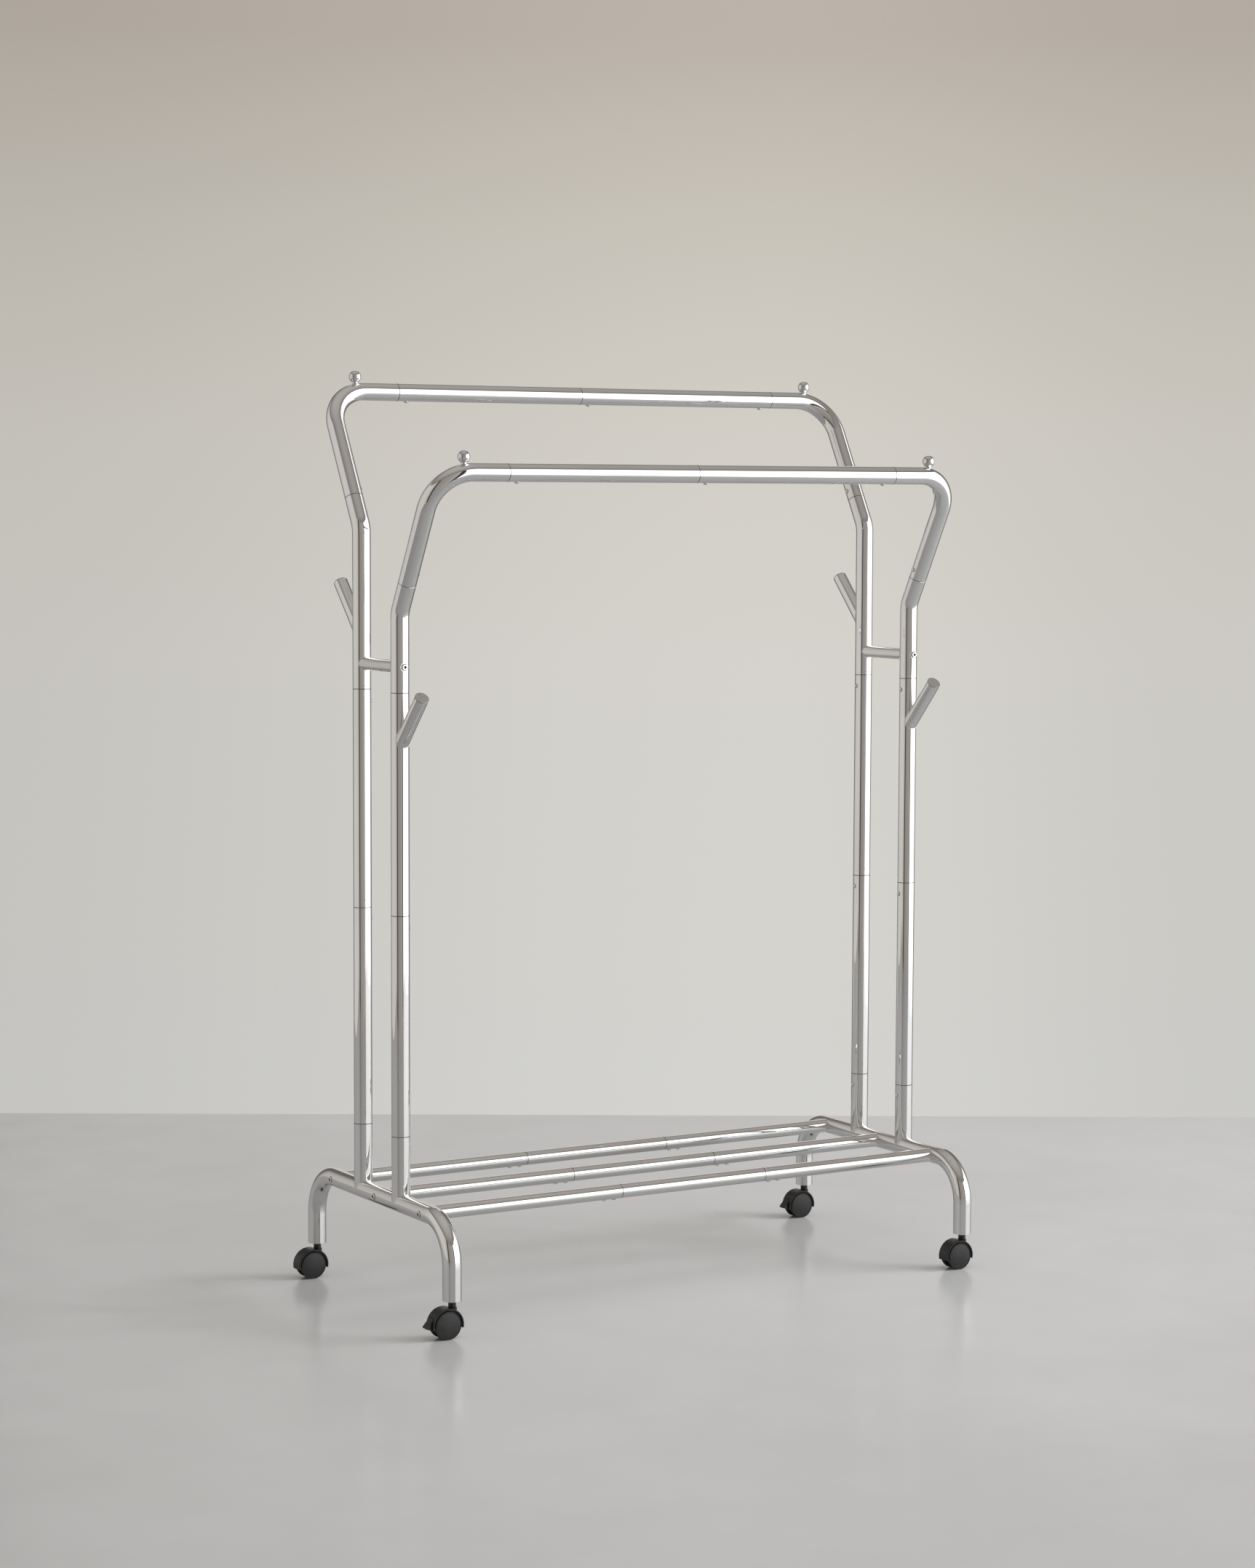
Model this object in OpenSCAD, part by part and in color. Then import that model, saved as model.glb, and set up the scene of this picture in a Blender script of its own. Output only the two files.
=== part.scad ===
// Rolling garment rack of polished steel tube: two leaning hanging rails of
// different height, four coat pegs, a shelf of three bars and four swivel casters.
// Origin: on the floor, midway between the four posts. +X runs along the rails,
// to the right as seen from the front. -Y is the front, the side of the lower rail.

/* [Frame] */
// Distance between the axes of the left and right posts
post_span = 1050; // [900:10:1200]
// Distance between the axes of the front and rear posts
post_gap = 144; // [130:2:170]
// Outside diameter of the posts and hanging rails
tube_d = 32; // [31:0.5:33]
// Wall of every steel tube
wall = 1.2; // [1:0.1:1.5]
// Height of the joint between the base stub and the lower post
first_joint_z = 310; // [290:5:340]
// Length of a lower post and of an upper post
post_length = 379; // [370:1:390]
// Height of the kink in the front posts
front_kink_z = 1203; // [1195:1:1230]
// Height of the kink in the rear posts
rear_kink_z = 1346; // [1320:1:1380]
// Lean of the post tops away from upright, in degrees
lean = 29; // [26:1:32]
// Height of each hanging rail above its kink
rail_rise = 236; // [220:2:250]
// Radius of the rail corners, to the tube axis
corner_bend = 70; // [65:1:80]
// Height of the crossbars that join the front and rear posts
crossbar_z = 1112; // [1100:2:1130]
// Outside diameter of a crossbar
crossbar_d = 22; // [20:1:24]

/* [Hanging rails] */
// Distance from the middle to the joint between corner and straight rail
rail_joint_x = 392; // [380:2:400]
// Where the two straight rail tubes meet, left of the middle
rail_middle_x = -20; // [-40:2:0]
// Distance from the middle to the ball at each rail end
ball_x = 472; // [466:1:478]
// Diameter of the balls
ball_d = 21.5; // [19:0.5:23]

/* [Base] */
// Distance from the middle to the axis of each base leg, front to rear
leg_y = 259; // [250:1:270]
// Height of the base tube's axis, which the shelf rails share
base_z = 194; // [185:1:200]
// Radius of the base bends, to the tube axis
base_bend = 75; // [70:1:80]
// Outside diameter of the base tube
base_d = 32.4; // [32.2:0.1:33]
// Height of the lower end of the legs
leg_end_z = 63; // [62:0.5:65]
// Distance from the middle shelf rail to the front and rear ones
shelf_pitch = 170; // [160:2:175]
// Outside diameter of a shelf rail
shelf_d = 25; // [24:0.5:26]
// Distance from the middle to the two joints in each shelf rail
shelf_joint_x = 148; // [140:2:160]

/* [Coat pegs] */
// Diameter of a peg
peg_d = 25; // [24:0.5:26]
// Length of a peg from the post axis to its flat end
peg_length = 120; // [115:1:135]
// Lean of a peg away from upright, in degrees
peg_lean = 43; // [38:1:44]
// Height at which the front pegs meet the post axis
front_peg_z = 976; // [950:1:980]
// Height at which the rear pegs meet the post axis
rear_peg_z = 1162; // [1140:1:1180]

/* [Casters] */
// Diameter of a wheel
wheel_d = 48; // [46:0.5:48]
// Distance from the swivel axis back to the wheel axle
trail = 13; // [12.5:0.5:14]
// Outside diameter of the hood over the wheels
hood_d = 58; // [57.5:0.5:59]
// Width of the hood
hood_width = 26.6; // [26:0.2:28]
// Diameter of the swivel stem
stem_d = 10; // [9.5:0.1:10.2]

/* [Hidden] */
$fn = 72;
SIDES = ["left", "right"];
ENDS = ["front", "rear"];
ROWS = ["front", "middle", "rear"];
PARTS_OF_ROW = ["left", "centre", "right"];
FACES = ["outer", "inner"];

post_x = post_span / 2;
post_y = post_gap / 2;
tube_r = tube_d / 2;
tube_in = tube_r - wall;
base_r = base_d / 2;
base_in = base_r - wall;
shelf_r = shelf_d / 2;
crossbar_r = crossbar_d / 2;
peg_r = peg_d / 2;
ball_r = ball_d / 2;
wheel_r = wheel_d / 2;
hood_r = hood_d / 2;
stem_r = stem_d / 2;

second_joint_z = first_joint_z + post_length;
third_joint_z = second_joint_z + post_length;
edge = 0.6;               // bevel at every cut tube end
slip = 0.1;               // gap between a spigot and the tube around it
spigot_length = 38;
screw_setback = 21;       // from a post joint down to its screw
rail_screw_setback = 20;  // from a rail joint along to its screw
kink_screw_setback = 17;  // from the joint above the kink up to its screw
kink_bend = 45;           // radius of the kink, to the tube axis
kink_joint = 58;          // from the kink to the joint above it, along the lean
kink_tangent = kink_bend * tan(lean / 2);
rail_reach = rail_rise / cos(lean);       // from the kink to the rail, along the lean
rail_y = post_y + rail_reach * sin(lean);
shelf_screws = [12, 32];  // beyond a shelf joint

screw_head_r = 4.5;
screw_head_h = 2.6;
screw_r = 2.3;
screw_hole_r = 2.45;
bolt_r = 3;
bolt_hole_r = 3.15;
bolt_socket_r = 5 / 2 / cos(30);
plug_length = 16;

web_half = 6.5;           // half width of the hood's middle web
wheel_inner_y = 6.8;      // inner face of a wheel, from the caster's middle
wheel_width = 6.8;
axle_r = 2;
running_gap = 0.05;
hood_wall = 2.7;
hood_dip = 12;            // degrees that the hood reaches below the axle
boss_top_z = 52.3;
stem_end_z = 38;
collar_r = 6.6;
pivot_x = -20;            // brake lever pivot, from the wheel axle
pivot_z = 4;
trunnion_r = 1.5;
lever_half = 4;
tab_half = 8;
lever_top = 152;          // upper end of the lever, in degrees round the axle from the front
lever_clear_r = 24.7;     // how deep the hood is cut away behind the lever

function sign_x(side) = side == "left" ? -1 : 1;
function sign_y(end) = end == "front" ? -1 : 1;
function kink_z(end) = end == "front" ? front_kink_z : rear_kink_z;
function rail_z(end) = kink_z(end) + rail_rise;
function peg_z(end) = end == "front" ? front_peg_z : rear_peg_z;
function row_y(row) = row == "front" ? -shelf_pitch : row == "rear" ? shelf_pitch : 0;
function has_brake(end, side) = (end == "front") == (side == "left");

// Places what is drawn for the rear right quarter in the named quarter.
module quarter(end, side) {
    mirror([side == "left" ? 1 : 0, 0, 0])
        mirror([0, end == "front" ? 1 : 0, 0])
            children();
}

// Moves to a post's kink and tips upward +Z over to the lean of the post top.
module at_kink(end) {
    translate([post_x, post_y, kink_z(end)])
        rotate([-lean, 0, 0])
            children();
}

// Half profile of a domed disc: its rim from z = low up to z = base, then the dome.
function dome(radius, rise, low, base) =
    let (ball = (radius ^ 2 + rise ^ 2) / (2 * rise), half_angle = asin(radius / ball))
    concat(
        [[radius, low]],
        [for (i = [0:8]) let (a = half_angle * (1 - i / 8))
            [ball * sin(a), base + rise - ball * (1 - cos(a))]]
    );

// ---- tube pieces, all along +Z from z = 0 ----

module plain_tube(r, length, w = wall) {
    linear_extrude(length)
        difference() {
            circle(r);
            circle(r - w);
        }
}

// Tube with both cut ends bevelled.
module cut_tube(r, length) {
    rotate_extrude()
        polygon([
            [r - wall, 0], [r - edge, 0], [r, edge],
            [r, length - edge], [r - edge, length], [r - wall, length]
        ]);
}

// Short bevelled mouth, with its cut end at z = 0.
module mouth(r) {
    rotate_extrude()
        polygon([[r - wall, 0], [r - edge, 0], [r, edge], [r, 2 * edge], [r - wall, 2 * edge]]);
}

// Bead inside a tube of inner radius r, where a bend meets a straight length.
module inner_bead(r) {
    rotate_extrude()
        polygon([[r - 0.5, 0.5], [r + 0.4, 0.5], [r + 0.4, 3.5], [r - 0.5, 3.5]]);
}

// Reduced end that goes into the next tube: fixed below z = 0, bare above it.
module spigot(r) {
    inside = r - wall;
    bare = inside - slip;
    rotate_extrude()
        polygon([
            [bare - wall, -10], [inside + wall / 4, -10], [inside + wall / 4, -2], [bare, -2],
            [bare, spigot_length - 1], [bare - 1, spigot_length], [bare - wall, spigot_length]
        ]);
}

// Solid end insert with a bolt hole, its outer face at z = 0.
module end_plug(r) {
    rotate_extrude()
        polygon([
            [bolt_r, 0], [r - wall / 2, 0], [r - wall / 2, plug_length], [bolt_r, plug_length]
        ]);
}

// Hole through one side of a tube, from its axis out along +Z.
module screw_hole(r) {
    translate([0, 0, 4])
        cylinder(r = screw_hole_r, h = r);
}

// ---- fasteners ----

// Domed screw along +Z, measured from the axis of the tube that it sits on, which
// runs along X.
module joint_screw(r) {
    difference() {
        rotate_extrude()
            polygon(concat([[0, r - 1]], dome(screw_head_r, screw_head_h, r - 1, r)));
        rotate([0, 90, 0])
            cylinder(r = r, h = 4 * screw_head_r, center = true);
    }
    translate([0, 0, r - 8])
        cylinder(r = screw_r, h = 9);
}

// Hex socket bolt along +Z: head above z = 0, shank below it.
module socket_bolt(head_r, head_h, shank) {
    difference() {
        rotate_extrude()
            polygon([
                [0, 0], [head_r, 0], [head_r, head_h * 0.45], [head_r - 0.5, head_h * 0.75],
                [head_r - 1.6, head_h], [0, head_h]
            ]);
        translate([0, 0, head_h * 0.3])
            linear_extrude(head_h)
                circle(r = bolt_socket_r, $fn = 6);
    }
    translate([0, 0, -shank])
        cylinder(r = bolt_r, h = shank + 0.1);
}

// ---- base ----

// Inverted U of round bar of radius r in the YZ plane, legs down to z = low.
module base_path(r, low) {
    straight = leg_y - base_bend;
    translate([0, straight, base_z])
        rotate([90, 0, 0])
            cylinder(r = r, h = 2 * straight);
    for (m = [0, 1])
        mirror([0, m, 0]) {
            translate([0, straight, base_z - base_bend])
                rotate([0, 0, 90])
                    rotate([90, 0, 0])
                        rotate_extrude(angle = 90)
                            translate([base_bend, 0])
                                circle(r);
            translate([0, leg_y, low])
                cylinder(r = r, h = base_z - base_bend - low);
        }
}

module base_end(side) {
    color("silver")
        mirror([side == "left" ? 1 : 0, 0, 0])
            translate([post_x, 0, 0])
                difference() {
                    union() {
                        base_path(base_r, leg_end_z);
                        for (y = [-post_y, post_y])
                            translate([0, y, base_z])
                                cylinder(r = tube_r, h = first_joint_z - base_z - 2 * edge);
                        for (y = [-post_y, post_y])
                            translate([0, y, first_joint_z])
                                mirror([0, 0, 1])
                                    mouth(tube_r);
                    }
                    base_path(base_in, leg_end_z - 1);
                    for (y = [-post_y, post_y])
                        translate([0, y, base_z + base_r + 2]) {
                            cylinder(r = tube_in, h = first_joint_z);
                            translate([0, 0, first_joint_z - screw_setback - base_z - base_r - 2])
                                rotate([0, -90, 0])
                                    screw_hole(tube_r);
                        }
                    for (row = ROWS)
                        translate([0, row_y(row), base_z])
                            rotate([0, 90, 0]) {
                                translate([0, 0, -base_r - 1])
                                    cylinder(r = bolt_hole_r, h = 2 * base_r + 2);
                                translate([0, 0, base_r - 0.9])
                                    cylinder(r = 5.4, h = 2);
                            }
                }
}

// ---- posts ----

module straight_post() {
    difference() {
        union() {
            cut_tube(tube_r, post_length);
            mirror([0, 0, 1])
                spigot(tube_r);
        }
        translate([0, 0, -screw_setback])
            rotate([0, -90, 0])
                screw_hole(tube_r);
        translate([0, 0, post_length - screw_setback])
            rotate([0, -90, 0])
                screw_hole(tube_r);
    }
}

module lower_post(end, side) {
    color("silver")
        quarter(end, side)
            translate([post_x, post_y, first_joint_z])
                straight_post();
}

module upper_post(end, side) {
    color("silver")
        quarter(end, side)
            translate([post_x, post_y, second_joint_z])
                straight_post();
}

// The bent length of round bar inside a kinked post, from z = 0 at its lower end.
module kink_path(r, rise, extra) {
    translate([0, 0, -extra])
        cylinder(r = r, h = rise - kink_tangent + extra);
    translate([0, kink_bend, rise - kink_tangent])
        rotate([90, 0, -90])
            rotate_extrude(angle = lean)
                translate([kink_bend, 0])
                    circle(r);
    translate([0, 0, rise])
        rotate([-lean, 0, 0])
            translate([0, 0, kink_tangent])
                cylinder(r = r, h = kink_joint - kink_tangent - 2 * edge + 2 * extra);
}

module kinked_post(end, side) {
    rise = kink_z(end) - third_joint_z;
    color("silver")
        quarter(end, side)
            translate([post_x, post_y, third_joint_z])
                difference() {
                    union() {
                        difference() {
                            translate([0, 0, 2 * edge])
                                kink_path(tube_r, rise - 2 * edge, 0);
                            kink_path(tube_in, rise, 1);
                        }
                        mouth(tube_r);
                        mirror([0, 0, 1])
                            spigot(tube_r);
                        translate([0, 0, rise])
                            rotate([-lean, 0, 0]) {
                                translate([0, 0, kink_tangent - 2])
                                    inner_bead(tube_in);
                                translate([0, 0, kink_joint]) {
                                    mirror([0, 0, 1])
                                        mouth(tube_r);
                                    spigot(tube_r);
                                }
                            }
                    }
                    translate([0, 0, -screw_setback])
                        rotate([0, -90, 0])
                            screw_hole(tube_r);
                    translate([0, 0, rise])
                        rotate([-lean, 0, 0])
                            translate([0, 0, kink_joint + kink_screw_setback])
                                rotate([0, -90, 0])
                                    screw_hole(tube_r);
                    translate([0, 0, crossbar_z - third_joint_z])
                        rotate([90, 0, 0])
                            cylinder(r = bolt_hole_r, h = 3 * tube_r, center = true);
                }
}

// ---- crossbars ----

module crossbar(side) {
    gap = post_y - tube_r;
    color("silver")
        mirror([side == "left" ? 1 : 0, 0, 0])
            translate([post_x, 0, crossbar_z])
                difference() {
                    union() {
                        translate([0, post_y, 0])
                            rotate([90, 0, 0])
                                plain_tube(crossbar_r, post_gap);
                        for (m = [0, 1])
                            mirror([0, m, 0])
                                translate([0, -gap - 4, 0])
                                    rotate([-90, 0, 0])
                                        end_plug(crossbar_r);
                    }
                    for (y = [-post_y, post_y])
                        translate([0, y, 0])
                            cylinder(r = tube_r, h = 3 * crossbar_r, center = true);
                }
}

// ---- hanging rails ----

// The bent length of round bar inside a rail corner, from the joint above the kink.
module corner_path(r, extra) {
    reach = rail_reach - corner_bend;
    rail_end = post_x - rail_joint_x - corner_bend;
    translate([0, 0, kink_joint + 2 * edge - 2 * extra])
        cylinder(r = r, h = reach - kink_joint - 2 * edge + 2 * extra);
    translate([-corner_bend, 0, reach])
        rotate([90, 0, 0])
            rotate_extrude(angle = 90)
                translate([corner_bend, 0])
                    circle(r);
    translate([-corner_bend, 0, rail_reach])
        rotate([0, -90, 0])
            cylinder(r = r, h = rail_end - 2 * edge + 2 * extra);
}

module rail_corner(end, side) {
    color("silver")
        quarter(end, side)
            difference() {
                at_kink(end)
                    difference() {
                        union() {
                            difference() {
                                corner_path(tube_r, 0);
                                corner_path(tube_in, 1);
                            }
                            translate([0, 0, kink_joint])
                                mouth(tube_r);
                            translate([rail_joint_x - post_x, 0, rail_reach])
                                rotate([0, -90, 0]) {
                                    mirror([0, 0, 1])
                                        mouth(tube_r);
                                    spigot(tube_r);
                                }
                        }
                        translate([0, 0, kink_joint + kink_screw_setback])
                            rotate([0, -90, 0])
                                screw_hole(tube_r);
                    }
                translate([ball_x, rail_y, rail_z(end)])
                    cylinder(r = 3, h = 2 * tube_r);
                translate([rail_joint_x - rail_screw_setback, rail_y, rail_z(end)])
                    rotate([180, 0, 0])
                        screw_hole(tube_r);
            }
}

module rail_tube(end, side) {
    left = side == "left";
    low_x = left ? -rail_joint_x : rail_middle_x;
    high_x = left ? rail_middle_x : rail_joint_x;
    screws = left
        ? [low_x + rail_screw_setback, high_x + rail_screw_setback]
        : [low_x + rail_screw_setback, high_x - rail_screw_setback];
    color("silver")
        translate([0, sign_y(end) * rail_y, rail_z(end)])
            difference() {
                union() {
                    translate([low_x, 0, 0])
                        rotate([0, 90, 0])
                            cut_tube(tube_r, high_x - low_x);
                    if (left)
                        translate([high_x, 0, 0])
                            rotate([0, 90, 0])
                                spigot(tube_r);
                }
                for (x = screws)
                    translate([x, 0, 0])
                        rotate([180, 0, 0])
                            screw_hole(tube_r);
            }
}

// Ball on a short neck that sits on the bend of the rail, with a stud down into it.
module ball_finials() {
    bend_turn = asin((ball_x - (post_x - corner_bend)) / corner_bend);
    sink = corner_bend * (1 - cos(bend_turn));
    color("gainsboro")
        for (end = ENDS, side = SIDES)
            quarter(end, side)
                translate([ball_x, rail_y, rail_z(end) + tube_r - sink * cos(lean)]) {
                    translate([0, 0, ball_r + 0.8])
                        sphere(ball_r);
                    difference() {
                        translate([0, 0, -2])
                            cylinder(r = 5, h = 5);
                        translate([0, -sink * sin(lean), -tube_r])
                            rotate([-lean, 0, 0])
                                rotate([0, 90 + bend_turn, 0])
                                    cylinder(r = tube_r + 2 * running_gap, h = 40, center = true);
                    }
                    translate([0, 0, -8])
                        cylinder(r = 2.8, h = 10);
                }
}

// ---- shelf ----

module shelf_rail(row, part) {
    outer_length = post_x - base_r - shelf_joint_x;
    color("silver")
        translate([0, row_y(row), base_z]) {
            if (part == "centre")
                difference() {
                    union() {
                        translate([-shelf_joint_x, 0, 0])
                            rotate([0, 90, 0])
                                cut_tube(shelf_r, 2 * shelf_joint_x);
                        for (m = [0, 1])
                            mirror([m, 0, 0])
                                translate([shelf_joint_x, 0, 0])
                                    rotate([0, 90, 0])
                                        spigot(shelf_r);
                    }
                    for (m = [0, 1], x = shelf_screws)
                        mirror([m, 0, 0])
                            translate([shelf_joint_x + x, 0, 0])
                                rotate([180, 0, 0])
                                    screw_hole(shelf_r);
                }
            else
                mirror([part == "left" ? 1 : 0, 0, 0])
                    difference() {
                        union() {
                            translate([shelf_joint_x, 0, 0])
                                rotate([0, 90, 0])
                                    cut_tube(shelf_r, outer_length + base_r / 2);
                            translate([shelf_joint_x + outer_length - 4, 0, 0])
                                rotate([0, 90, 0])
                                    mirror([0, 0, 1])
                                        end_plug(shelf_r);
                        }
                        translate([post_x, 0, 0])
                            rotate([90, 0, 0])
                                cylinder(r = base_r, h = 3 * shelf_r, center = true);
                        for (x = shelf_screws)
                            translate([shelf_joint_x + x, 0, 0])
                                rotate([180, 0, 0])
                                    screw_hole(shelf_r);
                    }
        }
}

// ---- coat pegs ----

module at_peg(end, side) {
    quarter(end, side)
        translate([post_x, post_y, peg_z(end)])
            rotate([-peg_lean, 0, 0])
                children();
}

module coat_pegs() {
    cap = 2;
    color("silver")
        for (end = ENDS, side = SIDES)
            difference() {
                at_peg(end, side)
                    plain_tube(peg_r, peg_length - cap);
                translate([sign_x(side) * post_x, sign_y(end) * post_y, peg_z(end) - peg_length])
                    cylinder(r = tube_r, h = 2 * peg_length);
            }
}

// Flat end discs with a plug that goes into the peg.
module peg_caps() {
    color("darkgray")
        for (end = ENDS, side = SIDES)
            at_peg(end, side)
                translate([0, 0, peg_length - 12])
                    rotate_extrude()
                        polygon([
                            [0, 0], [peg_r - wall - slip, 0], [peg_r - wall - slip, 10],
                            [peg_r, 10], [peg_r, 11.6], [peg_r - 0.4, 12], [0, 12]
                        ]);
}

// ---- fasteners in place ----

// Hex socket bolts: through the posts into the crossbars, and through the base into
// the shelf rails.
module frame_bolts() {
    color("gainsboro") {
        for (end = ENDS, side = SIDES)
            quarter(end, side)
                translate([post_x, post_y + tube_r + 1.2, crossbar_z])
                    rotate([-90, 0, 0])
                        socket_bolt(6, 3.4, 2 * tube_r + plug_length - 3);
        for (side = SIDES, row = ROWS)
            mirror([side == "left" ? 1 : 0, 0, 0])
                translate([post_x + base_r - 0.9, row_y(row), base_z])
                    rotate([0, 90, 0])
                        socket_bolt(5, 2.6, 2 * base_r + plug_length - 4);
    }
}

// Washers under the crossbar bolts, hollowed to sit on the round post.
module bolt_washers() {
    color("gainsboro")
        for (end = ENDS, side = SIDES)
            quarter(end, side)
                translate([post_x, post_y, crossbar_z])
                    difference() {
                        rotate([-90, 0, 0])
                            translate([0, 0, tube_r - 2])
                                linear_extrude(3.2)
                                    difference() {
                                        circle(7.2);
                                        circle(bolt_hole_r);
                                    }
                        cylinder(r = tube_r, h = 20, center = true);
                    }
}

// One domed screw at each tube joint, and two at each shelf joint.
module joint_screws() {
    color("gainsboro") {
        for (end = ENDS, side = SIDES)
            quarter(end, side) {
                for (z = [first_joint_z, second_joint_z, third_joint_z])
                    translate([post_x, post_y, z - screw_setback])
                        rotate([0, -90, 0])
                            joint_screw(tube_r);
                at_kink(end)
                    translate([0, 0, kink_joint + kink_screw_setback])
                        rotate([0, -90, 0])
                            joint_screw(tube_r);
            }
        for (end = ENDS, x = [
            rail_screw_setback - rail_joint_x, rail_middle_x + rail_screw_setback,
            rail_joint_x - rail_screw_setback
        ])
            translate([x, sign_y(end) * rail_y, rail_z(end)])
                rotate([180, 0, 0])
                    joint_screw(tube_r);
        for (row = ROWS, m = [-1, 1], x = shelf_screws)
            translate([m * (shelf_joint_x + x), row_y(row), base_z])
                rotate([180, 0, 0])
                    joint_screw(shelf_r);
    }
}

// ---- casters ----

module at_leg(end, side) {
    translate([sign_x(side) * post_x, sign_y(end) * leg_y, 0])
        children();
}

// Moves to the wheel axle, with the axle along +Z and the rear of the caster at -X.
module at_axle() {
    translate([-trail, 0, wheel_r])
        rotate([90, 0, 0])
            children();
}

// Plastic sleeve pressed into a leg to hold the stem.
module caster_sockets() {
    color("dimgray")
        for (end = ENDS, side = SIDES)
            at_leg(end, side)
                translate([0, 0, leg_end_z + 0.4])
                    linear_extrude(36)
                        difference() {
                            circle(base_in - 0.02);
                            circle(stem_r);
                        }
}

// Stem with the collar that shows under the leg. The hood swivels on its lower end.
module caster_stems() {
    color("dimgray")
        for (end = ENDS, side = SIDES)
            at_leg(end, side) {
                translate([0, 0, stem_end_z])
                    cylinder(r = stem_r, h = leg_end_z + 34 - stem_end_z);
                translate([0, 0, boss_top_z + 0.5])
                    cylinder(r = collar_r, h = leg_end_z - 0.1 - boss_top_z);
            }
}

module caster_hood(end, side) {
    hood_in = hood_r - hood_wall;
    half = hood_width / 2;
    soft = 0.8;
    color("dimgray")
        at_leg(end, side)
            difference() {
                union() {
                    at_axle() {
                        rotate([0, 0, -hood_dip])
                            rotate_extrude(angle = 180 + 2 * hood_dip)
                                polygon([
                                    [hood_in, -half], [hood_r - soft, -half], [hood_r, soft - half],
                                    [hood_r, half - soft], [hood_r - soft, half], [hood_in, half]
                                ]);
                        translate([0, 0, -web_half])
                            linear_extrude(2 * web_half) {
                                intersection() {
                                    circle(hood_in + 0.5);
                                    translate([-hood_r, -4])
                                        square([2 * hood_r, hood_r + 4]);
                                }
                                circle(7);
                            }
                    }
                    difference() {
                        translate([0, 0, wheel_r])
                            cylinder(r = 8, h = boss_top_z - wheel_r);
                        at_axle()
                            translate([0, 0, -10])
                                cylinder(r = hood_in, h = 20);
                    }
                }
                translate([0, 0, stem_end_z - 0.5])
                    cylinder(r = stem_r + running_gap, h = 20);
                at_axle()
                    translate([0, 0, -20])
                        cylinder(r = axle_r, h = 40);
                if (has_brake(end, side))
                    at_axle() {
                        translate([0, 0, -tab_half - 0.5])
                            linear_extrude(2 * tab_half + 1)
                                difference() {
                                    polygon(concat(
                                        [[0, 0]],
                                        [for (a = [lever_top - 2.5, 175, 200]) 50 * [cos(a), sin(a)]]
                                    ));
                                    circle(lever_clear_r);
                                }
                        translate([-50, -10, -lever_half - 0.3])
                            cube([35, 22, 2 * lever_half + 0.6]);
                        translate([pivot_x, pivot_z, -20])
                            cylinder(r = trunnion_r + running_gap, h = 40);
                    }
            }
}

module caster_axle(end, side) {
    half = wheel_inner_y + 4.8;
    color("lightgray")
        at_leg(end, side)
            at_axle()
                translate([0, 0, -half])
                    cylinder(r = axle_r, h = 2 * half);
}

// One of the two wheels of a caster, dished inside, with a raised rim round a domed face.
module wheel(end, side, face) {
    outward = (face == "outer") == (end == "rear");
    face_z = wheel_width - 0.6;
    color([0.2, 0.2, 0.2])
        at_leg(end, side)
            translate([-trail, 0, wheel_r])
                rotate([outward ? -90 : 90, 0, 0])
                    translate([0, 0, wheel_inner_y])
                        difference() {
                            rotate_extrude()
                                polygon(concat(
                                    [
                                        [0, 0.2], [6, 0.2], [6, 3.4], [wheel_r - 5, 3.4],
                                        [wheel_r - 3.6, 0], [wheel_r - 0.9, 0], [wheel_r, 0.9],
                                        [wheel_r, wheel_width - 0.9],
                                        [wheel_r - 0.9, wheel_width],
                                        [wheel_r - 1.5, wheel_width],
                                        [wheel_r - 1.8, face_z - 0.3]
                                    ],
                                    dome(wheel_r - 2.2, 2, face_z - 0.3, face_z)
                                ));
                            translate([0, 0, -1])
                                cylinder(r = axle_r + running_gap, h = 6);
                        }
}

// Foot lever let into the back of the hood, on trunnions that snap into the hood's web.
module brake_lever(end, side) {
    top = hood_r * [cos(lever_top), sin(lever_top)];
    color("dimgray")
        at_leg(end, side)
            at_axle() {
                translate([0, 0, -tab_half])
                    linear_extrude(2 * tab_half)
                        difference() {
                            polygon([
                                [-24, -5.2], [-31, -5.2], [-37.6, -3.2], [-38.5, -0.8], top,
                                [-22.6, 12]
                            ]);
                            circle(hood_r - hood_wall + 0.3);
                        }
                translate([0, 0, -lever_half])
                    linear_extrude(2 * lever_half) {
                        translate([-30, 1.5])
                            square([30 + pivot_x, 5]);
                        translate([pivot_x, pivot_z])
                            circle(3.6);
                    }
                translate([pivot_x, pivot_z, -web_half + 0.2])
                    cylinder(r = trunnion_r, h = 2 * web_half - 0.4);
            }
}

for (s = SIDES) {
    base_end(s);
    crossbar(s);
    for (e = ENDS) {
        at = str("_", e, "_", s);
        lower_post(e, s);
        upper_post(e, s);
        kinked_post(e, s);
        rail_corner(e, s);
        rail_tube(e, s);
        caster_hood(e, s);
        caster_axle(e, s);
        for (f = FACES)
            wheel(e, s, f);
        if (has_brake(e, s))
            brake_lever(e, s);
    }
}
for (r = ROWS, p = PARTS_OF_ROW)
    shelf_rail(r, p);
coat_pegs();
peg_caps();
ball_finials();
frame_bolts();
bolt_washers();
joint_screws();
caster_sockets();
caster_stems();
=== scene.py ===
"""Looks for the rolling garment rack: chromed tube, satin caps, black casters, a plain studio."""

import math

import bpy
from mathutils import Matrix, Vector


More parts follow.
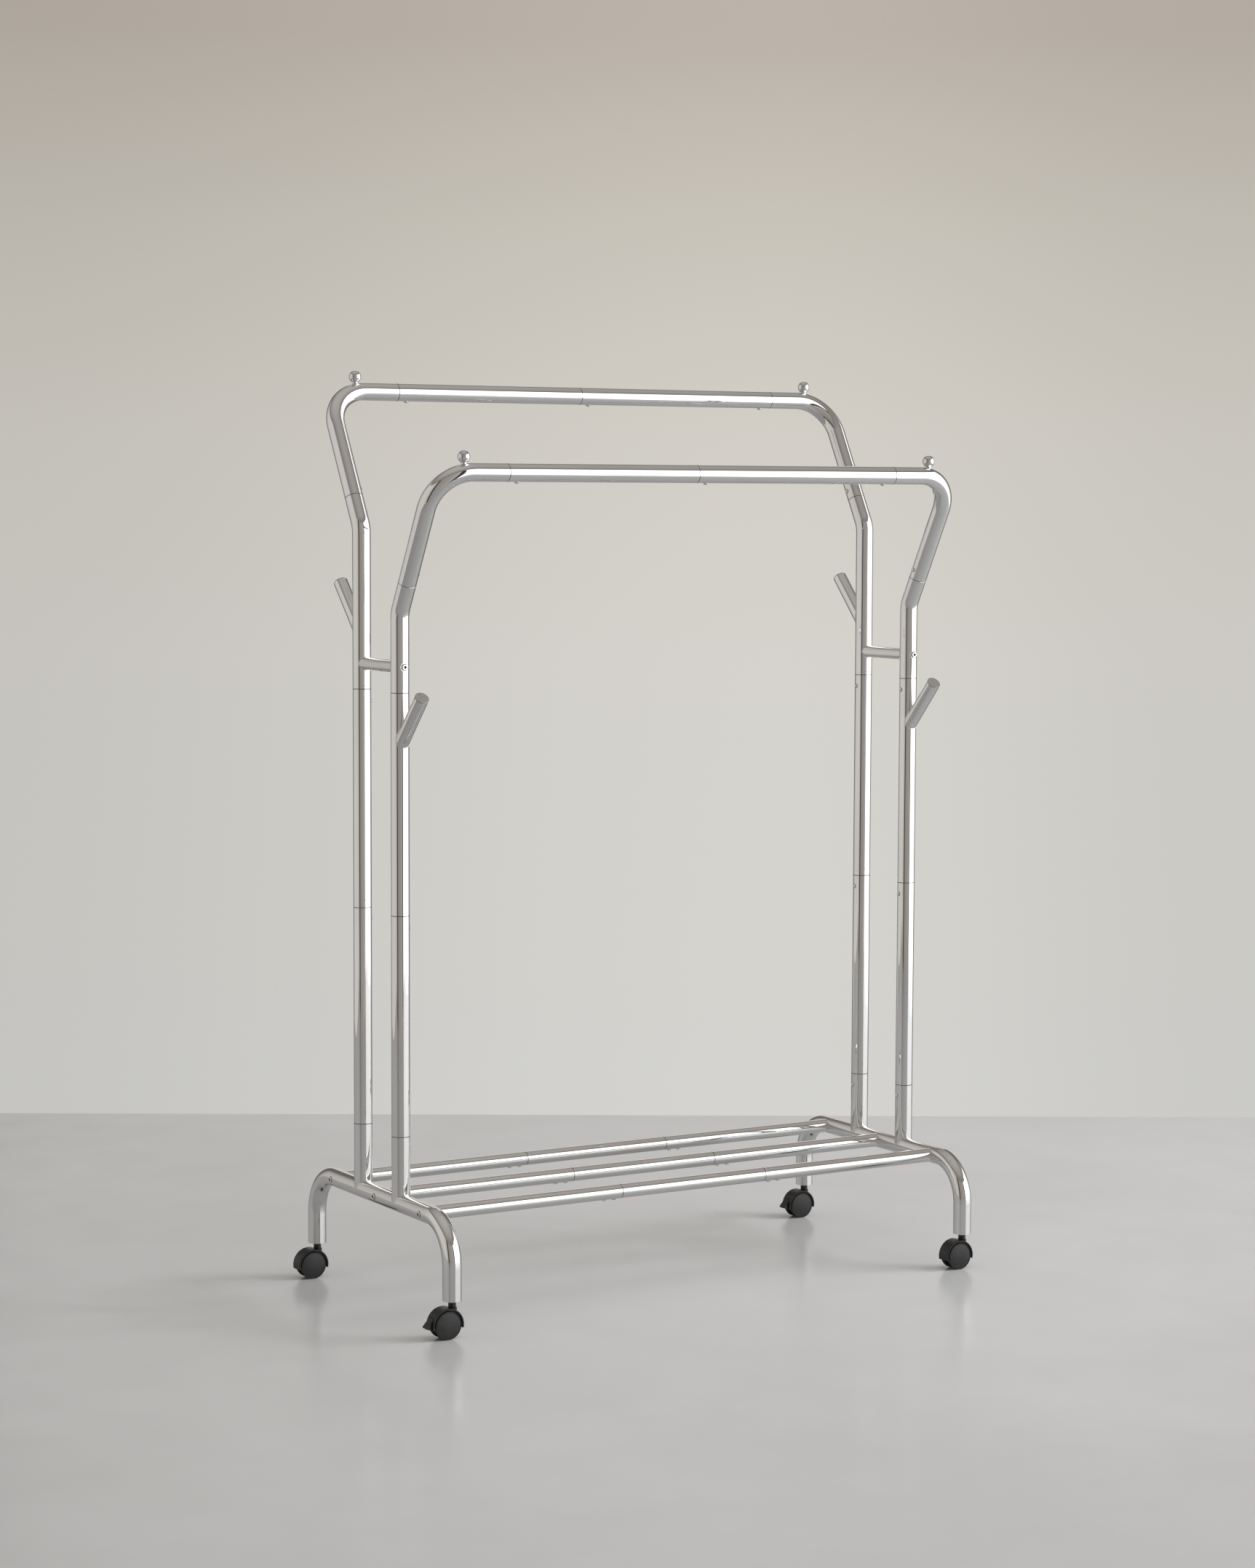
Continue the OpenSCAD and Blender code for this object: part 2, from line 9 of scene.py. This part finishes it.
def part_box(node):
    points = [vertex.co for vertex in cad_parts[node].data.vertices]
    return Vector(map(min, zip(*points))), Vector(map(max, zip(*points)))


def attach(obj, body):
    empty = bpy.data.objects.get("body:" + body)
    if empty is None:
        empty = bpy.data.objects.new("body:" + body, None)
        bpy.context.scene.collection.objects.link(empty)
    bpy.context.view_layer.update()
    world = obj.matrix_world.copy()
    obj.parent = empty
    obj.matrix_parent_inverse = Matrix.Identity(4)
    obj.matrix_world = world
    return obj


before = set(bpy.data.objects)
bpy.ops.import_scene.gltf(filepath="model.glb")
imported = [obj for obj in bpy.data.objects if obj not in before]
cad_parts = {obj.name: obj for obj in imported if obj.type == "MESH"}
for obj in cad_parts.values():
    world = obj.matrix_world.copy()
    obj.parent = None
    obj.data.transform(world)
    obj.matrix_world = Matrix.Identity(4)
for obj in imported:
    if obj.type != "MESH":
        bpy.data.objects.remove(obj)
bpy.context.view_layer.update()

MM = 0.001
SIDES = {"left": -1, "right": 1}
ENDS = {"front": -1, "rear": 1}

# Camera: where it stands, and its aim from +Y towards +X and above the horizon.
CAMERA_AT = Vector((-3.139, -5.213, 1.396))
CAMERA_YAW = math.radians(30.78)
CAMERA_PITCH = math.radians(-4.78)
CAMERA_ROLL = math.radians(0.2)
CAMERA_LENS, CAMERA_SENSOR = 78.28, 36   # mm
WALL_AHEAD = 7.66          # from the camera to the line where floor and wall meet

TOWARDS_CAMERA = Vector((-math.sin(CAMERA_YAW), -math.cos(CAMERA_YAW), 0))
TO_THE_RIGHT = Vector((math.cos(CAMERA_YAW), -math.sin(CAMERA_YAW), 0))


# ---------------------------------------------------------------- node helpers

class Tree:
    """Short calls for making the nodes of one material or world."""

    def __init__(self, owner):
        owner.use_nodes = True
        self.tree = owner.node_tree
        self.tree.nodes.clear()

    def node(self, kind, inputs=None, **settings):
        n = self.tree.nodes.new(kind)
        for name, value in settings.items():
            setattr(n, name, value)
        for name, value in (inputs or {}).items():
            self.put(n.inputs[name], value)
        return n

    def put(self, socket, value):
        if isinstance(value, bpy.types.NodeSocket):
            self.tree.links.new(value, socket)
        else:
            socket.default_value = value

    def math(self, operation, a, b):
        n = self.node("ShaderNodeMath", operation=operation)
        self.put(n.inputs[0], a)
        self.put(n.inputs[1], b)
        return n.outputs[0]

    def spread(self, value, low, high, to_low, to_high):
        """value from low..high onto to_low..to_high, eased and clamped."""
        n = self.node("ShaderNodeMapRange", interpolation_type="SMOOTHSTEP")
        for name, v in (("Value", value), ("From Min", low), ("From Max", high),
                        ("To Min", to_low), ("To Max", to_high)):
            self.put(n.inputs[name], v)
        return n.outputs["Result"]

    def mix(self, factor, a, b):
        """Colour a at factor 0, colour b at factor 1."""
        n = self.node("ShaderNodeMix", data_type="RGBA")
        for socket, value in zip((n.inputs[0], n.inputs[6], n.inputs[7]), (factor, a, b)):
            self.put(socket, value)
        return n.outputs[2]

    def ramp(self, value, stops):
        """The colour at value, blended between stops of (place, colour)."""
        n = self.node("ShaderNodeValToRGB", {"Fac": value})
        elements = n.color_ramp.elements
        while len(elements) < len(stops):
            elements.new(1.0)
        for element, (place, colour) in zip(elements, stops):
            element.position = place
            element.color = (*colour, 1)
        return n.outputs["Color"]

    def object_coords(self, stretch=(1, 1, 1)):
        coords = self.node("ShaderNodeTexCoord").outputs["Object"]
        return self.node("ShaderNodeMapping", {"Vector": coords, "Scale": stretch}).outputs[0]

    def noise(self, scale, stretch=(1, 1, 1), detail=3.0, roughness=0.5):
        n = self.node("ShaderNodeTexNoise", {
            "Vector": self.object_coords(stretch), "Scale": scale,
            "Detail": detail, "Roughness": roughness,
        })
        return n.outputs["Fac"]

    def bump(self, height, distance, strength):
        inputs = {"Height": height, "Distance": distance, "Strength": strength}
        return self.node("ShaderNodeBump", inputs).outputs[0]

    def principled(self, **inputs):
        shader = self.node("ShaderNodeBsdfPrincipled", inputs)
        self.node("ShaderNodeOutputMaterial", {"Surface": shader.outputs[0]})


def grey(level, warm=0.0):
    """A grey with a little red added and blue taken away."""
    return (level * (1 + warm), level, level * (1 - warm))


def rgba(colour):
    return (*colour, 1)


# ---------------------------------------------------------------- materials

def chrome(name, drawn, tone=0.88, base_rough=0.012, warm=0.0):
    """Bright plating with faint smudges. drawn: scale of the polishing marks in x, y and z."""
    material = bpy.data.materials.new(name)
    t = Tree(material)
    lines = t.noise(1.0, drawn, detail=2.0)
    smudge = t.noise(14.0, detail=4.0, roughness=0.6)
    cloud = t.noise(3.5, detail=2.0)
    spots = t.node("ShaderNodeTexVoronoi", {"Vector": t.object_coords(), "Scale": 420.0})
    speck = t.spread(spots.outputs["Distance"], 0.05, 0.16, 1.0, 0.0)
    speck = t.math("MULTIPLY", speck, t.spread(smudge, 0.55, 0.7, 0.0, 1.0))
    rough = t.spread(smudge, 0.5, 0.8, base_rough, base_rough + 0.035)
    rough = t.math("ADD", rough, t.spread(lines, 0.45, 0.8, 0.0, 0.006))
    rough = t.math("ADD", rough, t.math("MULTIPLY", speck, 0.04))
    clean, dull = grey(tone, warm), grey(tone * 0.94, warm + 0.01)
    colour = t.mix(t.spread(cloud, 0.35, 0.7, 0.0, 1.0), rgba(clean), rgba(dull))
    t.principled(**{"Base Color": colour, "Metallic": 1.0, "Roughness": rough})
    return material


def satin_cap():
    """Flat end of a coat peg: finely grained metal, duller than the tube."""
    material = bpy.data.materials.new("satin_cap")
    t = Tree(material)
    grain = t.noise(900.0, detail=3.0)
    cloud = t.noise(60.0, detail=2.0)
    colour = t.mix(cloud, rgba(grey(0.40, 0.05)), rgba(grey(0.52, 0.04)))
    rough = t.spread(grain, 0.3, 0.7, 0.36, 0.5)
    t.principled(**{"Base Color": colour, "Metallic": 0.85, "Roughness": rough,
                    "Normal": t.bump(grain, 2e-5, 0.3)})
    return material


def plastic(name, low, high, rough_low, rough_high, grain_scale, grain_depth):
    """Moulded black plastic with a fine spark-eroded grain and faint dust."""
    material = bpy.data.materials.new(name)
    t = Tree(material)
    grain = t.node("ShaderNodeTexVoronoi", {
        "Vector": t.object_coords(), "Scale": grain_scale, "Randomness": 1.0,
    }).outputs["Distance"]
    fine = t.noise(grain_scale * 2.2, detail=2.0)
    cloud = t.noise(35.0, detail=5.0, roughness=0.65)
    dust = t.spread(cloud, 0.48, 0.75, 0.0, 1.0)
    colour = t.mix(dust, rgba(grey(low)), rgba(grey(high, 0.02)))
    rough = t.math("ADD", t.spread(cloud, 0.3, 0.7, rough_low, rough_high),
                   t.spread(fine, 0.35, 0.65, -0.03, 0.03))
    height = t.math("ADD", grain, t.math("MULTIPLY", fine, 0.4))
    t.principled(**{"Base Color": colour, "Roughness": rough, "Specular IOR Level": 0.5,
                    "Normal": t.bump(height, grain_depth, 0.5)})
    return material


def axle_steel():
    """Bare steel with turning marks round the axle."""
    material = bpy.data.materials.new("axle_steel")
    t = Tree(material)
    round_the_axle = (400, 4000, 400)     # scale of the marks in x, y and z
    turned = t.noise(1.0, round_the_axle, detail=2.0)
    colour = t.mix(turned, rgba(grey(0.38)), rgba(grey(0.52, 0.01)))
    rough = t.spread(turned, 0.3, 0.7, 0.28, 0.42)
    t.principled(**{"Base Color": colour, "Metallic": 1.0, "Roughness": rough,
                    "Normal": t.bump(turned, 8e-6, 0.4)})
    return material


ALONG, ACROSS, EVEN = 5.0, 900.0, 700.0   # scales of the marks: long, fine, or all alike
UPRIGHT = chrome("chrome_upright", (ACROSS, ACROSS, ALONG))
LENGTHWISE = chrome("chrome_lengthwise", (ALONG, ACROSS, ACROSS))
CROSSWISE = chrome("chrome_crosswise", (ACROSS, ALONG, ACROSS))
FASTENER = chrome("chrome_fastener", (EVEN, EVEN, EVEN), tone=0.82, base_rough=0.03)
CAP = satin_cap()
STEEL = axle_steel()
HOOD_PLASTIC = plastic("caster_plastic", 0.011, 0.02, 0.33, 0.42, 1400.0, 3e-5)
WHEEL_PLASTIC = plastic("wheel_plastic", 0.02, 0.034, 0.36, 0.46, 1700.0, 4e-5)

MATERIAL_OF = {
    "base_end": CROSSWISE, "lower_post": UPRIGHT, "upper_post": UPRIGHT,
    "kinked_post": UPRIGHT, "rail_corner": LENGTHWISE, "rail_tube": LENGTHWISE,
    "crossbar": CROSSWISE, "shelf_rail": LENGTHWISE, "coat_pegs": UPRIGHT,
    "peg_caps": CAP, "ball_finials": FASTENER, "frame_bolts": FASTENER,
    "bolt_washers": FASTENER, "joint_screws": FASTENER, "caster_sockets": HOOD_PLASTIC,
    "caster_stems": HOOD_PLASTIC, "caster_axle": STEEL, "caster_hood": HOOD_PLASTIC,
    "brake_lever": HOOD_PLASTIC, "wheel": WHEEL_PLASTIC,
}

for node_name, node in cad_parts.items():
    kind = next(k for k in MATERIAL_OF if node_name.startswith(k))
    node.data.materials.clear()
    node.data.materials.append(MATERIAL_OF[kind])


# ---------------------------------------------------------------- seams and welds

BODY = "frame"
LEAN = math.radians(29)        # post tops, from upright
PEG_LEAN = math.radians(43)    # coat pegs, from upright
PEG_ROOT_Z = {"rear": 1162 * MM, "front": 976 * MM}   # where a peg meets the post's axis
PEG_R = 12.5 * MM
ROWS = ("front", "middle", "rear")
LENGTH, SIDEWAYS, UP = Vector((1, 0, 0)), Vector((0, 1, 0)), Vector((0, 0, 1))


class Mesh:
    """Collects vertices and quads for one piece."""

    def __init__(self):
        self.verts, self.faces = [], []

    def loft(self, rings):
        """Joins rings of equal length into a closed band, the last to the first."""
        first, n = len(self.verts), len(rings[0])
        for ring in rings:
            self.verts.extend(ring)
        for i in range(len(rings)):
            a, b = first + i * n, first + (i + 1) % len(rings) * n
            for k in range(n):
                m = (k + 1) % n
                self.faces.append((a + k, a + m, b + m, b + k))

    def piece(self, name, material):
        """Makes the mesh a smooth piece that rides on the frame."""
        mesh = bpy.data.meshes.new(name)
        mesh.from_pydata(self.verts, [], self.faces)
        mesh.polygons.foreach_set("use_smooth", [True] * len(self.faces))
        mesh.materials.append(material)
        obj = bpy.data.objects.new(name, mesh)
        bpy.context.scene.collection.objects.link(obj)
        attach(obj, BODY)


def across(axis):
    """Two directions square to axis and to each other."""
    other = LENGTH if abs(axis.x) < 0.9 else SIDEWAYS
    first = axis.cross(other).normalized()
    return first, axis.cross(first)


def add_ring(mesh, centre, axis, profile, segments=56):
    """Turns a closed profile of (radius, height) points round an axis."""
    u, v = across(axis)
    rings = []
    for i in range(segments):
        turn = 2 * math.pi * i / segments
        out = u * math.cos(turn) + v * math.sin(turn)
        rings.append([centre + out * r + axis * h for r, h in profile])
    mesh.loft(rings)


def saddle(at, axis, radius, big_at, big_axis, big_radius, points=72):
    """Where a tube that starts at `at` along axis leaves the surface of a bigger tube."""
    u, v = across(axis)
    flat_axis = axis - big_axis * axis.dot(big_axis)
    curve = []
    for i in range(points):
        turn = 2 * math.pi * i / points
        out = u * math.cos(turn) + v * math.sin(turn)
        start = at + out * radius
        gap = start - big_at
        gap = gap - big_axis * gap.dot(big_axis)
        a, b = flat_axis.length_squared, gap.dot(flat_axis)
        c = gap.length_squared - big_radius ** 2
        along = (-b + math.sqrt(max(b * b - a * c, 0))) / a
        curve.append((start + axis * along, out))
    return curve


def add_bead(mesh, curve, radius, corners=10):
    """A round bead along a closed curve of (point, outward direction)."""
    n = len(curve)
    rings = []
    for i, (point, out) in enumerate(curve):
        tangent = (curve[(i + 1) % n][0] - curve[i - 1][0]).normalized()
        side = (out - tangent * out.dot(tangent)).normalized()
        lift = tangent.cross(side)
        rings.append([
            point + (side * math.cos(t) + lift * math.sin(t)) * radius
            for t in (2 * math.pi * k / corners for k in range(corners))
        ])
    mesh.loft(rings)


def middle(node):
    """Centre of a part's box."""
    a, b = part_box(node)
    return (a + b) / 2


# Painted shade: a near-black stand-in for the shadow in the grooves between tubes and in the bolt
# sockets.
PAINTED_SHADE_BLACK = plastic("seam_shadow", 0.004, 0.008, 0.5, 0.6, 1400.0, 1e-5)
post_low, post_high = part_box("lower_post_rear_right")
POST_X, POST_Y = (post_low.x + post_high.x) / 2, (post_low.y + post_high.y) / 2
POST_R = (post_high.x - post_low.x) / 2
shelf_low, shelf_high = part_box("shelf_rail_middle_centre")
SHELF_R = (shelf_high.z - shelf_low.z) / 2
BASE_Z = (shelf_low.z + shelf_high.z) / 2
base_low, base_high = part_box("base_end_right")
BASE_R = (base_high.x - base_low.x) / 2


def seam_profile(radius):
    """Section of the dark ring of painted shade, just under the surface of a tube of this radius.
    """
    inner, outer, half = radius - 0.65 * MM, radius - 0.12 * MM, 0.42 * MM
    return [(inner, -half), (outer, -half), (outer, half), (inner, half)]


def tube_seam_shade():
    """Painted shade: a dark ring in the groove between every two tubes, where the shadow falls.
    """
    mesh = Mesh()
    post, shelf = seam_profile(POST_R), seam_profile(SHELF_R)
    for end, sy in ENDS.items():
        for side, sx in SIDES.items():
            at = f"{end}_{side}"
            for z in (base_high.z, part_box(f"lower_post_{at}")[1].z,
                      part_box(f"upper_post_{at}")[1].z):
                add_ring(mesh, Vector((sx * POST_X, sy * POST_Y, z)), UP, post)
            rail = middle(f"rail_tube_{at}")
            joint_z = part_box(f"rail_corner_{at}")[0].z + POST_R * math.sin(LEAN)
            joint_y = rail.y - sy * (rail.z - joint_z) * math.tan(LEAN)
            lean = Vector((0, sy * math.sin(LEAN), math.cos(LEAN)))
            add_ring(mesh, Vector((sx * POST_X, joint_y, joint_z)), lean, post)
        left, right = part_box(f"rail_tube_{end}_left"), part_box(f"rail_tube_{end}_right")
        for x in (left[0].x, right[0].x, right[1].x):
            add_ring(mesh, Vector((x, rail.y, rail.z)), LENGTH, post)
    for row in ROWS:
        for side, face in (("left", 1), ("right", 0)):
            name = f"shelf_rail_{row}_{side}"
            at = Vector((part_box(name)[face].x, middle(name).y, BASE_Z))
            add_ring(mesh, at, LENGTH, shelf)
    mesh.piece("tube_seam_shade", PAINTED_SHADE_BLACK)


def weld_beads():
    """Plated weld beads where a tube stands on another one."""
    mesh = Mesh()
    cross_low, cross_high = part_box("crossbar_right")
    cross_r = (cross_high.x - cross_low.x) / 2
    cross_z = middle("crossbar_right").z
    bead = 0.9 * MM
    for end, sy in ENDS.items():
        for side, sx in SIDES.items():
            post = Vector((sx * POST_X, sy * POST_Y, 0))
            foot = Vector((sx * POST_X, sy * POST_Y, BASE_Z))
            base = Vector((sx * POST_X, 0, BASE_Z))
            add_bead(mesh, saddle(foot, UP, POST_R, base, SIDEWAYS, BASE_R), bead)
            bar = Vector((sx * POST_X, sy * POST_Y, cross_z))
            add_bead(mesh, saddle(bar, SIDEWAYS * -sy, cross_r, post, UP, POST_R), bead)
            peg_axis = Vector((0, sy * math.sin(PEG_LEAN), math.cos(PEG_LEAN)))
            root = Vector((sx * POST_X, sy * POST_Y, PEG_ROOT_Z[end]))
            add_bead(mesh, saddle(root, peg_axis, PEG_R, post, UP, POST_R), bead)
    mesh.piece("weld_beads", UPRIGHT)


def bolt_socket_shade():
    """Painted shade: a dark plug in the hex socket of every bolt, and a painted shadow line round
    the sunk heads.
    """
    mesh = Mesh()
    heads_low, heads_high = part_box("frame_bolts")
    cross_z = middle("crossbar_right").z
    cross_head = 4.6 * MM      # from the post's face to the face of a crossbar bolt
    pinhole, socket_r, plug_corners = 0.05 * MM, 2.88 * MM, 24
    # The dark plug is painted shade at the floor of the hex socket.
    bottom, top = -0.9 * MM, -0.35 * MM     # of the dark plug, from the face of the head
    plug = [(pinhole, bottom), (socket_r, bottom), (socket_r, top), (pinhole, top)]
    rim_r, rim_line = 5.15 * MM, 0.4 * MM   # shadow line round a head sunk in the base
    for sx, face in ((-1, heads_low.x), (1, heads_high.x)):
        base = Vector((sx * POST_X, 0, BASE_Z))
        for row in ROWS:
            y = middle(f"shelf_rail_{row}_left").y
            root = Vector((sx * POST_X, y, BASE_Z))
            rim = saddle(root, LENGTH * sx, rim_r, base, SIDEWAYS, BASE_R)
            add_bead(mesh, rim, rim_line)
            add_ring(mesh, Vector((face, y, BASE_Z)), LENGTH * sx, plug, plug_corners)
        for sy in ENDS.values():
            at = Vector((sx * POST_X, sy * (POST_Y + POST_R + cross_head), cross_z))
            add_ring(mesh, at, SIDEWAYS * sy, plug, plug_corners)
    mesh.piece("bolt_socket_shade", PAINTED_SHADE_BLACK)


tube_seam_shade()
weld_beads()
bolt_socket_shade()


# ---------------------------------------------------------------- studio

def studio_world():
    """The room in the chrome: warm walls, dark flags and lines, a big window to the right.

    The camera itself sees a backdrop instead, with painted shade: darker higher up and towards
    both sides.
    """
    world = bpy.data.worlds.new("studio")
    bpy.context.scene.world = world
    t = Tree(world)
    direction = t.node("ShaderNodeTexCoord").outputs["Generated"]

    def along(axis):
        """The part of the ray's direction that runs along axis."""
        dot = t.node("ShaderNodeVectorMath", operation="DOT_PRODUCT")
        t.put(dot.inputs[0], direction)
        dot.inputs[1].default_value = axis
        return dot.outputs["Value"]

    turn = t.math("ARCTAN2", along(TO_THE_RIGHT), along(TOWARDS_CAMERA))
    turn = t.math("ADD", t.math("DIVIDE", turn, 2 * math.pi), 0.5)
    height = along(UP)

    wall, flag, line, window = grey(0.6, 0.035), grey(0.13, 0.06), grey(0.045), grey(2.0)
    side_dim, side, room = grey(0.42, 0.05), grey(0.6, 0.04), grey(0.26, 0.1)
    bands = (  # degrees to the right of the direction towards the camera, and the colour there
        (-180, wall), (-169, wall), (-167, flag), (-146, flag), (-130, side_dim), (-108, side),
        (-60, side), (-37, side_dim), (-34, line), (-25, line), (-22, room),
        (12, grey(0.31, 0.09)), (30, grey(0.4, 0.06)), (32, line), (40, line), (43, window),
        (118, window), (121, side), (130, side_dim), (146, flag), (167, flag), (169, wall),
        (180, wall),
    )
    around = t.ramp(turn, [(0.5 + degrees / 360, colour) for degrees, colour in bands])
    ceiling = t.ramp(height, [(0.0, grey(0.2, 0.09)), (0.66, grey(0.22, 0.09)),
                              (0.8, grey(0.33, 0.07)), (0.98, grey(0.42, 0.05))])
    wall_top, ceiling_edge = math.sin(math.radians(33)), math.sin(math.radians(37))
    seen = t.mix(t.spread(height, wall_top, ceiling_edge, 0.0, 1.0), around, ceiling)
    below = t.spread(height, -0.6, -0.4, 1.0, 0.0)
    seen = t.mix(below, seen, rgba(grey(0.3)))

    # Painted shade on the backdrop: darker and warmer higher up.
    backdrop = t.ramp(t.math("ADD", t.math("MULTIPLY", height, 1.5), 0.5), [
        (0.25, (0.66, 0.655, 0.628)), (0.43, (0.67, 0.65, 0.61)), (0.53, (0.645, 0.62, 0.57)),
        (0.62, (0.58, 0.55, 0.49)), (0.70, (0.50, 0.45, 0.40)),
    ])
    # Painted shade: the backdrop darker towards both sides.
    sideways = along(TO_THE_RIGHT)
    left_dim = t.spread(sideways, -0.2, 0.05, 0.16, 0.0)
    right_dim = t.spread(sideways, 0.04, 0.18, 0.0, 0.1)
    backdrop = t.mix(t.math("ADD", left_dim, right_dim), backdrop, rgba(grey(0.03)))
    to_camera = t.node("ShaderNodeLightPath").outputs["Is Camera Ray"]
    colour = t.mix(to_camera, seen, backdrop)
    background = t.node("ShaderNodeBackground", {"Color": colour, "Strength": 1.0})
    t.node("ShaderNodeOutputWorld", {"Surface": background.outputs[0]})


def floor_material():
    """Smooth pale screed, drawn darker in mirror reflections."""
    material = bpy.data.materials.new("floor")
    t = Tree(material)
    cloud = t.noise(0.9, detail=4.0, roughness=0.55)
    mottle = t.noise(9.0, detail=5.0, roughness=0.6)
    colour = t.mix(t.spread(cloud, 0.3, 0.7, 0.0, 1.0), rgba(grey(0.47, 0.012)),
                   rgba(grey(0.52, 0.006)))
    shade = t.mix(t.spread(mottle, 0.35, 0.75, 0.0, 0.12), colour, rgba(grey(0.40, 0.01)))
    mirrored = t.node("ShaderNodeLightPath").outputs["Is Glossy Ray"]
    shade = t.mix(t.math("MULTIPLY", mirrored, 0.4), shade, rgba(grey(0.12, -0.04)))
    rough = t.spread(mottle, 0.3, 0.7, 0.2, 0.26)
    t.principled(**{"Base Color": shade, "Roughness": rough, "Specular IOR Level": 0.32})
    return material


def floor():
    """Plain floor that ends at the wall line behind the rack."""
    near, half_width = 3.2, 3.4     # from the rack's middle to the near edge and the sides
    foot = Vector((CAMERA_AT.x, CAMERA_AT.y, 0))
    far_edge = foot - TOWARDS_CAMERA * WALL_AHEAD
    near_edge = TOWARDS_CAMERA * near
    corners = [far_edge - TO_THE_RIGHT * half_width, near_edge - TO_THE_RIGHT * half_width,
               near_edge + TO_THE_RIGHT * half_width, far_edge + TO_THE_RIGHT * half_width]
    mesh = bpy.data.meshes.new("floor")
    mesh.from_pydata(corners, [], [(0, 1, 2, 3)])
    mesh.materials.append(floor_material())
    obj = bpy.data.objects.new("floor", mesh)
    bpy.context.scene.collection.objects.link(obj)


def soft_light(name, at, aim, size, radiance, colour=(1, 1, 1)):
    """A rectangular light at a place, facing another, that no reflection shows."""
    light = bpy.data.lights.new(name, "AREA")
    light.shape = "RECTANGLE"
    light.size, light.size_y = size
    light.energy = radiance * math.pi * size[0] * size[1]
    light.color = colour
    obj = bpy.data.objects.new(name, light)
    obj.location = at
    obj.rotation_euler = (Vector(aim) - Vector(at)).to_track_quat("-Z", "Y").to_euler()
    obj.visible_camera = False
    obj.visible_glossy = False
    bpy.context.scene.collection.objects.link(obj)


def camera():
    """The camera at its place and aim, everything in focus."""
    data = bpy.data.cameras.new("camera")
    data.sensor_width = CAMERA_SENSOR
    data.sensor_fit = "AUTO"
    data.lens = CAMERA_LENS
    data.dof.use_dof = False
    forward = (-TOWARDS_CAMERA * math.cos(CAMERA_PITCH)
               + Vector((0, 0, math.sin(CAMERA_PITCH))))
    up = TO_THE_RIGHT.cross(forward)
    right = TO_THE_RIGHT * math.cos(CAMERA_ROLL) + up * math.sin(CAMERA_ROLL)
    up = right.cross(forward)
    obj = bpy.data.objects.new("camera", data)
    obj.matrix_world = Matrix.Translation(CAMERA_AT) @ Matrix(
        (right, up, -forward)).transposed().to_4x4()
    bpy.context.scene.collection.objects.link(obj)
    bpy.context.scene.camera = obj


camera()
studio_world()
floor()
soft_light("key", at=(5.0, -2.6, 4.2), aim=(0.3, 0, 0.3), size=(2.6, 2.6), radiance=13.5,
           colour=(0.955, 1.0, 1.03))
soft_light("top", at=(0.6, -1.0, 5.0), aim=(0, 0.2, 0), size=(5.0, 4.0), radiance=1.2)

bpy.context.scene.view_settings.view_transform = "Standard"
